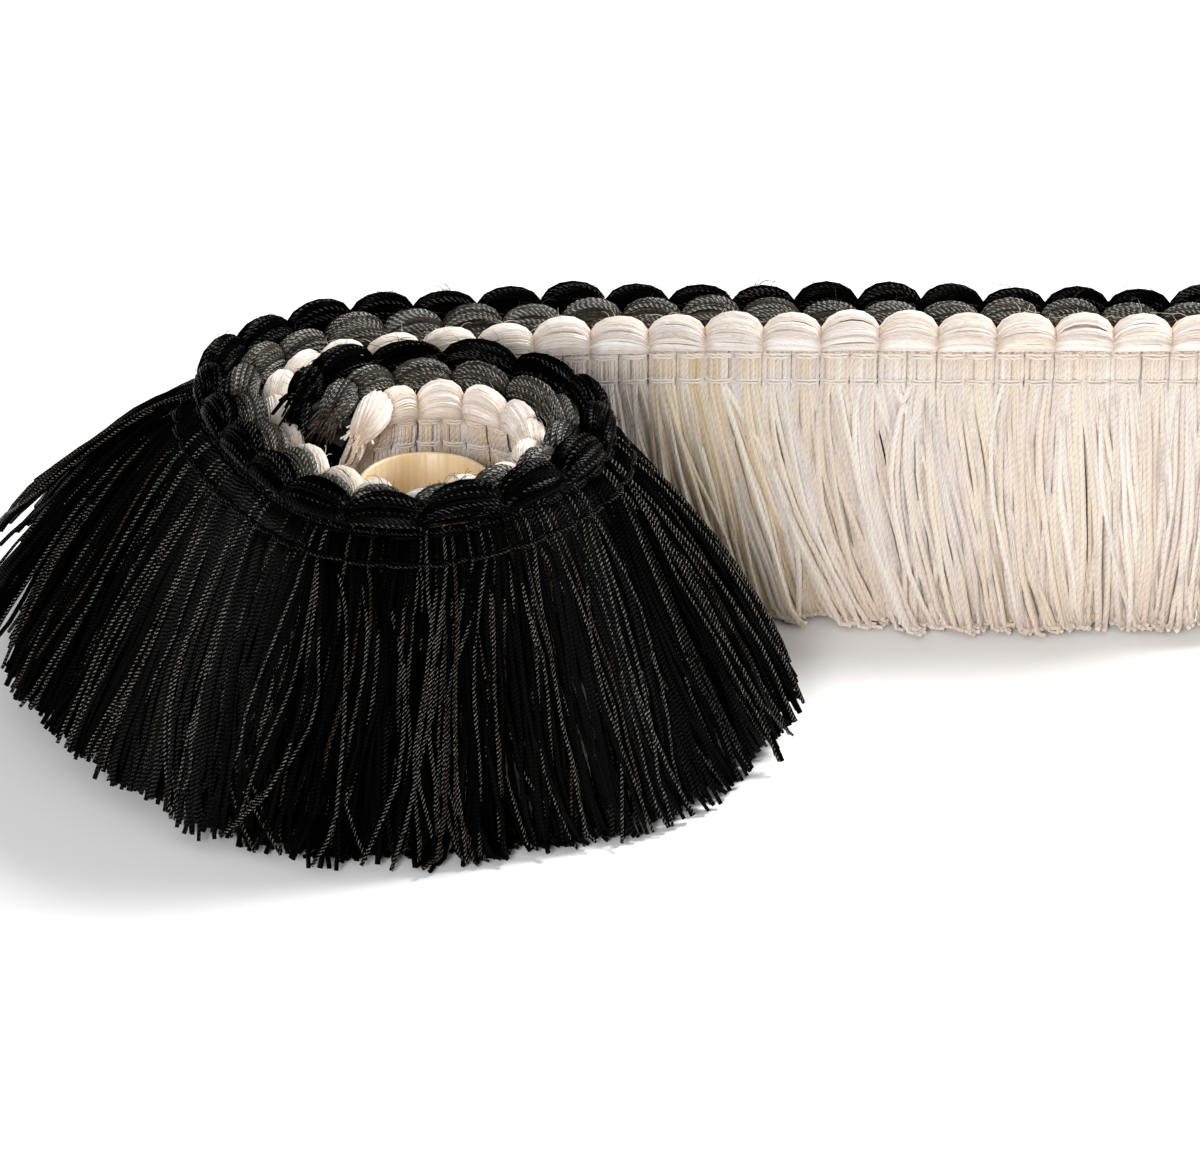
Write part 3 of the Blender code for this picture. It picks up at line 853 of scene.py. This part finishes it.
def hanging_path(yarns, bound, rng):
    """The free part of the yarns, as s, n and z, from below their necks to their cut tips."""
    colour, tail, centre, across, depth = (
        yarns.colour, yarns.tail, yarns.centre, yarns.across, yarns.depth)
    spread = splay(colour, centre)
    hanging = 1 - spread
    level = route(f"{colour}_out", centre)
    tufts = len(centre)
    tuft = (tufts, 1, 1)

    # Yarns side by side in a neck cling together in locks
    lock = np.clip((across + 1) * LOCKS / 2, 0, LOCKS - 1).astype(int)
    lock = lock * 2 + (depth > 0.5)

    def unevenness(of_tuft, of_lock, of_yarn):
        locks = rng.normal(0, 1, (tufts, 2 * LOCKS))
        return (of_tuft * rng.normal(0, 1, tuft) + of_yarn * rng.normal(0, 1, across.shape)
                + of_lock * np.take_along_axis(locks, lock[..., 0], axis=1)[..., None])

    # How far each tip stands out, and how far it leans along the heading, in millimetres
    out = level * (1 + rng.normal(0, 0.03, tuft)) + unevenness(0.9 * hanging, 1.3, 0.5)
    out = out - 2.0 * depth + 1.2 * yarns.stray + 0.7 * yarns.bright
    to_seam = np.minimum(np.abs(centre - LOOP_START), np.abs(centre - SKIRT_FRONT))
    settled = 0.3 + 0.7 * np.clip(to_seam / SEAM_REACH, 0, 1)
    drift = rng.normal(0, 1.0, tuft)
    drift = (drift + np.roll(drift, 1, axis=0) + np.roll(drift, 2, axis=0)) / 1.7
    lean = (1.4 * (0.4 + 0.6 * hanging) * drift * (1 + 0.3 * tail)
            + unevenness(0.6 + 0.2 * tail, 1.3 + 0.6 * tail, 0.7 + 0.5 * spread)
            * (1 + 1.2 * yarns.stray) * (1 - 0.5 * depth)) * settled
    to_bend = centre - SHARPEST_BEND
    at_bend = (colour == "black") * np.exp(-(to_bend / BEND_REACH) ** 2)
    lean = lean - BEND_CLOSING * to_bend * at_bend

    # How far each yarn bows to the side and outwards, how long it is, and how it waves
    curl = unevenness(0.7, 0.9 + 0.6 * tail, 0.5) * (1 + 0.9 * yarns.bright)
    sag = unevenness(0.4, 0.6 + 0.3 * spread, 0.3 + 0.4 * spread) + 0.5 * yarns.bright
    power = HANGING_BEND + (SPLAYED_BEND - HANGING_BEND) * spread
    droop = 1 + (SPLAYED_DROOP - 1) * spread
    foot_n, foot_z = bound[1][..., -1:], bound[2][..., -1:]
    chord = YARN_LENGTH + unevenness(0.4, 0.5, 0.6)
    if colour == "black":
        chord = chord - SHORT_BY * np.exp(-((centre - SHORTEST_BLACK) / SHORT_REACH) ** 2)
    tip_z = foot_z - np.sqrt(np.maximum(chord ** 2 - out ** 2, 1.0))
    sweep = route("sweep", centre + across * yarns.half)
    waves = []
    for _ in range(2):
        turns = 1 + 0.3 * unevenness(0, 0.8, 0.5), 2.6 + 0.4 * unevenness(0, 0.3, 1.0)
        start = 3 * unevenness(0, 1.0, 0.25), 3 * unevenness(0, 0.4, 1.0)
        waves.append(np.sin(2 * math.pi * HANG * turns[0] + start[0])
                     + 0.35 * np.sin(2 * math.pi * HANG * turns[1] + start[1]))

    fan = 1 + (0.75 + (0.6 + 0.3 * tail) * depth + BEND_FANNING * at_bend) * HANG ** 0.65
    s = (centre + across * yarns.half * fan + (sweep + lean) * HANG ** HANGING_BEND
         + curl * np.sin(math.pi * HANG) + (0.7 + 0.25 * spread) * waves[0] * HANG ** 0.7)
    n = (foot_n + out * HANG ** power + sag * np.sin(math.pi * HANG)
         + (0.4 + 0.3 * spread) * waves[1] * HANG ** 0.7)
    z = foot_z + (tip_z - foot_z) * HANG ** droop
    return s, n, z


def fringe_roll(s, n, z):
    """The heading's roll and lift, which the hanging part of the yarns loses on the way down."""
    turned_n, turned_z = rolled(s, n, z)
    bound = len(NECK_HEIGHTS)
    shift_n = (turned_n - n)[..., bound - 1:bound]
    shift_z = (turned_z - z)[..., bound - 1:bound]
    turned_n[..., bound:] = n[..., bound:] + shift_n
    turned_z[..., bound:] = z[..., bound:] + shift_z * (1 - HANG)
    return turned_n, turned_z


def fringe_pick(colour, own, shared, gold_tone_and_shade):
    """Which of its four colours a yarn of the fringe takes; neighbours tend to match."""
    if colour == "white":
        mixed = 0.45 * own + 0.55 * shared
        return np.clip(0.02 + 0.5 * mixed ** 1.5 + gold_tone_and_shade * (0.5 + own) + 0.6 * (own > 0.92), 0, 1)
    return np.clip(0.75 * own + 0.35 * shared - 0.1, 0, 1)


def dress(name, parts, row, place, nodes=()):
    """Makes a piece of yarn, gives it its colour and sets it in place of its solids."""
    piece = link(mesh_of(name, parts), name, yarn_palette(row, place))
    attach(piece, BODY)
    if nodes:
        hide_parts(*nodes)


class TRIM_OT_bobbles(bpy.types.Operator):
    """Winds the three rows of yarn bobbles along the heading"""

    bl_idname = "trim.bobbles"
    bl_label = "Bobbles"

    def execute(self, context):
        for row, side in ROWS.items():
            parts = bobble_parts(row, draws("bobbles", side))
            dress(f"bobble_yarns_{row}", parts, row, "bobble", [f"bobbles_{row}"])
        return {"FINISHED"}


class TRIM_OT_fringe(bpy.types.Operator):
    """Hangs the cut yarns of both sides from their bound necks"""

    bl_idname = "trim.fringe"
    bl_label = "Fringe"

    def execute(self, context):
        for colour, stretches in STRETCHES.items():
            solids = sorted(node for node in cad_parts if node.startswith(f"fringe_{colour}_"))
            for order, part in enumerate(stretches):
                parts = fringe_parts(colour, part, draws("fringe", 4 * ROWS[colour] + order))
                dress(f"fringe_yarns_{colour}_{part}", parts, colour, "fringe",
                      solids[STRETCH_SOLIDS[part]])
        return {"FINISHED"}


def stitch_parts(colour, rng):
    """Two lines of chain stitch that bind the necks."""
    centres, halves = necks(colour)
    turn = np.linspace(-1, 1, 9)[:-1]
    s = (centres[:, None] + halves[:, None] * turn).ravel()
    bulge = np.tile(np.sqrt(np.clip(1 - (np.abs(turn) / 0.92) ** 4, 0, 1)), len(centres))
    angle = np.radians(NECK_SPLAY * splay(colour, s))
    parts = []
    for height, radius in STITCH_LINES:
        for leg in (-1, 1):
            wobble = rng.normal(0, 0.07, s.shape)
            fall = NECK_TOP - height - leg * STITCH_LEG * bulge + wobble
            n = NECK_OUTER - STITCH_INSET + STITCH_BULGE * bulge + fall * np.sin(angle)
            z = NECK_TOP - fall * np.cos(angle)
            path = on_heading(s, ROWS[colour] * n, z)[None]
            radii = np.full((1, len(s)), radius * MM)
            tint = np.array([[0.1 if colour == "white" else 0.3, rng.uniform(0.4, 0.8), 0.5]])
            parts.append(tube_parts(path, radii, 5, UPWARD, tint))
    return parts


class TRIM_OT_stitching(bpy.types.Operator):
    """Binds the necks with two lines of chain stitch on each side"""

    bl_idname = "trim.stitching"
    bl_label = "Stitching"

    def execute(self, context):
        for colour in STRETCHES:
            parts = stitch_parts(colour, draws("stitches", ROWS[colour]))
            dress(f"stitches_{colour}", parts, colour, "fringe")
        return {"FINISHED"}


def fuzz_parts(row, count, rng):
    """Short stray fibres that stand off a row of bobbles."""
    marks = pinches(row)
    own = (count, 1)
    bobble = rng.integers(0, len(marks) - 1, own)
    share = rng.uniform(0.15, 0.85, own)
    full = np.sin(math.pi * share) ** 0.5
    length = rng.uniform(0.8, 3.0, own)
    rise = np.linspace(0, 1, 6)[None]
    turn = np.radians(rng.uniform(-10, 190, own)) + rng.normal(0, 0.35, own) * rise
    bow = rng.normal(0, 0.9, own) * rise + rng.normal(0, 0.7, own) * rise ** 2
    s = marks[bobble] + (marks[bobble + 1] - marks[bobble]) * share + length * bow
    reach = length * rise * np.cos(np.clip(bow, -1.2, 1.2)) - 0.3
    n = ROWS[row] * ROW_SPACING + (BOBBLE_HALF_WIDTH * full + reach) * np.cos(turn)
    z = BOBBLE_FOOT + BOBBLE_HEIGHT * full / 2 + (BOBBLE_HEIGHT * full / 2 + reach) * np.sin(turn)
    radii = FUZZ_RADIUS * MM * (1 - 0.5 * rise) * rng.uniform(0.7, 1.3, own)
    tint = rng.uniform(0, 0.4, (count, 3))
    return [tube_parts(on_heading(s, n, z), radii, 3, SLANTING, tint)]


class TRIM_OT_fuzz(bpy.types.Operator):
    """Lets short stray fibres stand off the bobbles"""

    bl_idname = "trim.fuzz"
    bl_label = "Stray fibres"

    def execute(self, context):
        for row, share in FUZZ_SHARES.items():
            count = int(context.scene.trim_sizes.fuzz * share)
            dress(f"fuzz_{row}", fuzz_parts(row, count, draws("fuzz", ROWS[row])), row, "fringe")
        return {"FINISHED"}


def cut_end_parts(row, end, rng):
    """Cut yarns that stick out of one end of a row: "tail", straight, or "inner", drooping."""
    own = (CUT_END_YARNS, 1)
    rise = np.linspace(0, 1, 9)[None]
    turn = rng.uniform(0, 2 * math.pi, own)
    share = np.sqrt(rng.uniform(0, 1, own))
    reach = rng.uniform(0.3, 1.0, own) * CUT_END_REACH[end][row]
    fall = rng.uniform(0.4, 2.0, own) * reach * (end == "inner")
    along = reach * (rise - 0.25 * rise ** 2)
    root = CUT_END_ROOTS[end]
    s = LENGTH - root + along if end == "inner" else root - along
    side = (rng.normal(0, 0.22, own) - 0.12 * ROWS[row]) * reach
    opening = 0.7 + 0.6 * rise
    wide, tall = CUT_END_SIZE
    n = ROWS[row] * ROW_SPACING + share * wide * np.cos(turn) * opening + side * rise ** 1.5
    z = (BOBBLE_FOOT + CUT_END_HEIGHT + share * tall * np.sin(turn) * opening
         - fall * rise ** 1.8)
    yarn = bpy.context.scene.trim_sizes.bobble_yarn / 2 * rng.uniform(0.4, 0.9, own)
    tint = rng.uniform(0, 1, (CUT_END_YARNS, 3))
    tint[:, :1] = bobble_pick(row, tint[:, :1], 0.5)
    return [tube_parts(on_heading(s, n, z), np.broadcast_to(yarn, s.shape), 5, SLANTING, tint)]


class TRIM_OT_cut_ends(bpy.types.Operator):
    """Frays both cut ends of the trim"""

    bl_idname = "trim.cut_ends"
    bl_label = "Frayed ends"

    def execute(self, context):
        for row, side in ROWS.items():
            rng = draws("cut ends", side)
            parts = cut_end_parts(row, "tail", rng) + cut_end_parts(row, "inner", rng)
            dress(f"cut_ends_{row}", parts, row, "fringe")
        return {"FINISHED"}


def core_material():
    """Cream plastic that lets a little light through, with faint upright streaks."""
    material, tree, shader = new_material("cream core")
    place = tree.nodes.new("ShaderNodeTexCoord")
    stretch = tree.nodes.new("ShaderNodeMapping")
    set_inputs(stretch, {"Scale": (900.0, 900.0, 14.0)})
    tree.links.new(place.outputs["Object"], stretch.inputs["Vector"])
    noise = tree.nodes.new("ShaderNodeTexNoise")
    set_inputs(noise, {"Scale": 1.0, "Detail": 3.0})
    tree.links.new(stretch.outputs[0], noise.inputs["Vector"])
    colour = bpy.context.scene.trim_colours.core
    deep = (colour[0] * 0.92, colour[1] * 0.88, colour[2] * 0.80, 1.0)
    tone = mix_colour(tree, map_range(tree, noise.outputs["Fac"], 0.35, 0.65), deep, (*colour, 1.0))
    tree.links.new(tone, shader.inputs["Base Color"])
    add_bump(tree, noise.outputs["Fac"], 0.0002, 0.5)
    set_inputs(shader, {"Roughness": 0.35, "Subsurface Weight": 0.35,
                        "Subsurface Radius": (0.004, 0.003, 0.0015), "Subsurface Scale": 1.0})
    return material


def core_mesh():
    """The ribbed tube, closed round its wall, with a bevelled lip at the top."""
    outer, inner = CORE_RADIUS, CORE_RADIUS - CORE_WALL
    lip, middle = CORE_HEIGHT - CORE_LIP, CORE_HEIGHT / 2 - CORE_EDGE
    profile = [(outer, 0.0), (outer, CORE_EDGE), (outer, middle), (outer, lip),
               (outer - CORE_LIP, CORE_HEIGHT), (inner + CORE_LIP, CORE_HEIGHT),
               (inner, lip), (inner, middle), (inner, CORE_EDGE), (inner, 0.0)]
    angle = 2 * math.pi * np.arange(CORE_SIDES) / CORE_SIDES
    radius, height = np.array(profile).T[..., None]
    radius = radius + CORE_RIB_DEPTH * np.cos(CORE_RIBS * angle)
    verts = np.stack([CORE_CENTRE[0] - ORIGIN[0] + radius * np.cos(angle),
                      CORE_CENTRE[1] - ORIGIN[1] + radius * np.sin(angle),
                      np.broadcast_to(height, radius.shape)], axis=-1) * MM
    index = np.arange(radius.size).reshape(radius.shape)
    after = np.roll(index, -1, axis=0)
    turned, both = np.roll(index, -1, axis=1), np.roll(after, -1, axis=1)
    faces = np.stack([index, turned, both, after], axis=-1).reshape(-1, 4)
    mesh = bpy.data.meshes.new("core_tube")
    mesh.from_pydata(verts.reshape(-1, 3).tolist(), [], faces.tolist())
    mesh.shade_smooth()
    mesh.set_sharp_from_angle(angle=math.radians(60))
    return mesh


class TRIM_OT_core(bpy.types.Operator):
    """Stands the ribbed tube inside the loop"""

    bl_idname = "trim.core"
    bl_label = "Core"

    def execute(self, context):
        piece = link(core_mesh(), "core_tube", core_material())
        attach(piece, BODY)
        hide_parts("core")
        return {"FINISHED"}


def tape_material():
    """A plain weave in near-black yarn."""
    material, tree, shader = new_material("heading tape")
    place = tree.nodes.new("ShaderNodeTexCoord")
    weave = tree.nodes.new("ShaderNodeTexBrick")
    set_inputs(weave, {"Scale": 900.0, "Mortar Size": 0.12, "Color1": (0.016, 0.015, 0.015, 1),
                       "Color2": (0.009, 0.009, 0.009, 1), "Mortar": (0.003, 0.003, 0.003, 1)})
    tree.links.new(place.outputs["Object"], weave.inputs["Vector"])
    tree.links.new(weave.outputs["Color"], shader.inputs["Base Color"])
    add_bump(tree, weave.outputs["Fac"], 0.0002).invert = True
    set_inputs(shader, {"Roughness": 0.9})
    return material


class TRIM_OT_tape(bpy.types.Operator):
    """Gives the heading tape its plain weave"""

    bl_idname = "trim.tape"
    bl_label = "Heading tape"

    def execute(self, context):
        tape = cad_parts["heading_tape"]
        tape.data.materials.clear()
        tape.data.materials.append(tape_material())
        return {"FINISHED"}


def add_floor(colour):
    """A plain sheet under the trim."""
    bpy.ops.mesh.primitive_plane_add(size=FLOOR_SIZE, location=(0, 0, FLOOR_HEIGHT))
    floor = bpy.context.object
    floor.name = "floor"
    paper, _, shader = new_material("floor")
    set_inputs(shader, {"Base Color": (*colour, 1.0), "Roughness": 0.9, "Specular IOR Level": 0.1})
    floor.data.materials.append(paper)


def area_light(name, power, size, place, target):
    """A square soft light that faces a point."""
    lamp = bpy.data.lights.new(name, "AREA")
    lamp.energy = power
    lamp.size = size
    light = bpy.data.objects.new(name, lamp)
    light.location = place
    light.rotation_euler = (Vector(target) - Vector(place)).to_track_quat("-Z", "Y").to_euler()
    bpy.context.scene.collection.objects.link(light)


def add_camera(scene):
    """The camera at the photograph's angle."""
    lens = bpy.data.cameras.new("camera")
    lens.lens = CAMERA_LENS
    lens.sensor_width = 36.0
    lens.sensor_fit = "HORIZONTAL"
    lens.clip_start = 0.01
    camera = bpy.data.objects.new("camera", lens)
    elevation = math.radians(CAMERA_ELEVATION)
    camera.location = (-ORIGIN[0] * MM,
                       (-ORIGIN[1] - CAMERA_DISTANCE * math.cos(elevation)) * MM,
                       (CAMERA_TARGET_HEIGHT + CAMERA_DISTANCE * math.sin(elevation)) * MM)
    camera.rotation_euler = (math.pi / 2 - elevation, 0, 0)
    scene.collection.objects.link(camera)
    scene.camera = camera


class TRIM_OT_stage(bpy.types.Operator):
    """Sets the floor, the lights and the camera"""

    bl_idname = "trim.stage"
    bl_label = "Stage"

    def execute(self, context):
        scene = context.scene
        settings = scene.trim_stage
        add_floor(settings.floor)
        area_light("key light", settings.key, KEY_SIZE, KEY_PLACE, KEY_TARGET)
        area_light("fill light", settings.fill, FILL_SIZE, FILL_PLACE, FILL_TARGET)
        world = bpy.data.worlds.new("studio")
        world.use_nodes = True
        set_inputs(world.node_tree.nodes["Background"],
                   {"Color": (1, 1, 1, 1), "Strength": settings.ambient})
        world.cycles_visibility.glossy = False
        scene.world = world
        scene.view_settings.view_transform = "Standard"
        add_camera(scene)
        return {"FINISHED"}


class TRIM_PT_panel(bpy.types.Panel):
    """Lists the steps that dress the trim"""

    bl_idname = "TRIM_PT_panel"
    bl_label = "Brush fringe trim"
    bl_space_type = "VIEW_3D"
    bl_region_type = "UI"
    bl_category = "Trim"

    def draw(self, context):
        layout = self.layout
        for settings in ("trim_sizes", "trim_colours", "trim_stage"):
            group = getattr(context.scene, settings)
            box = layout.box()
            for name in group.bl_rna.properties.keys():
                if name not in ("rna_type", "name"):
                    box.prop(group, name)
        for step in STEPS:
            layout.operator(step.bl_idname)


STEPS = (TRIM_OT_bobbles, TRIM_OT_fringe, TRIM_OT_stitching, TRIM_OT_cut_ends, TRIM_OT_fuzz,
         TRIM_OT_core, TRIM_OT_tape, TRIM_OT_stage)
GROUPS = {"trim_sizes": TrimSizes, "trim_colours": TrimColours, "trim_stage": StageSettings}


def register():
    """Adds the settings, the steps and the panel."""
    for name, group in GROUPS.items():
        bpy.utils.register_class(group)
        setattr(bpy.types.Scene, name, PointerProperty(type=group))
    for step in STEPS:
        bpy.utils.register_class(step)
    bpy.utils.register_class(TRIM_PT_panel)


def unregister():
    """Takes them away again."""
    bpy.utils.unregister_class(TRIM_PT_panel)
    for step in reversed(STEPS):
        bpy.utils.unregister_class(step)
    for name, group in GROUPS.items():
        delattr(bpy.types.Scene, name)
        bpy.utils.unregister_class(group)


def main():
    """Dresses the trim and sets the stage."""
    register()
    bpy.ops.trim.bobbles()
    bpy.ops.trim.fringe()
    bpy.ops.trim.stitching()
    bpy.ops.trim.cut_ends()
    bpy.ops.trim.fuzz()
    bpy.ops.trim.core()
    bpy.ops.trim.tape()
    bpy.ops.trim.stage()


if __name__ == "__main__":
    main()
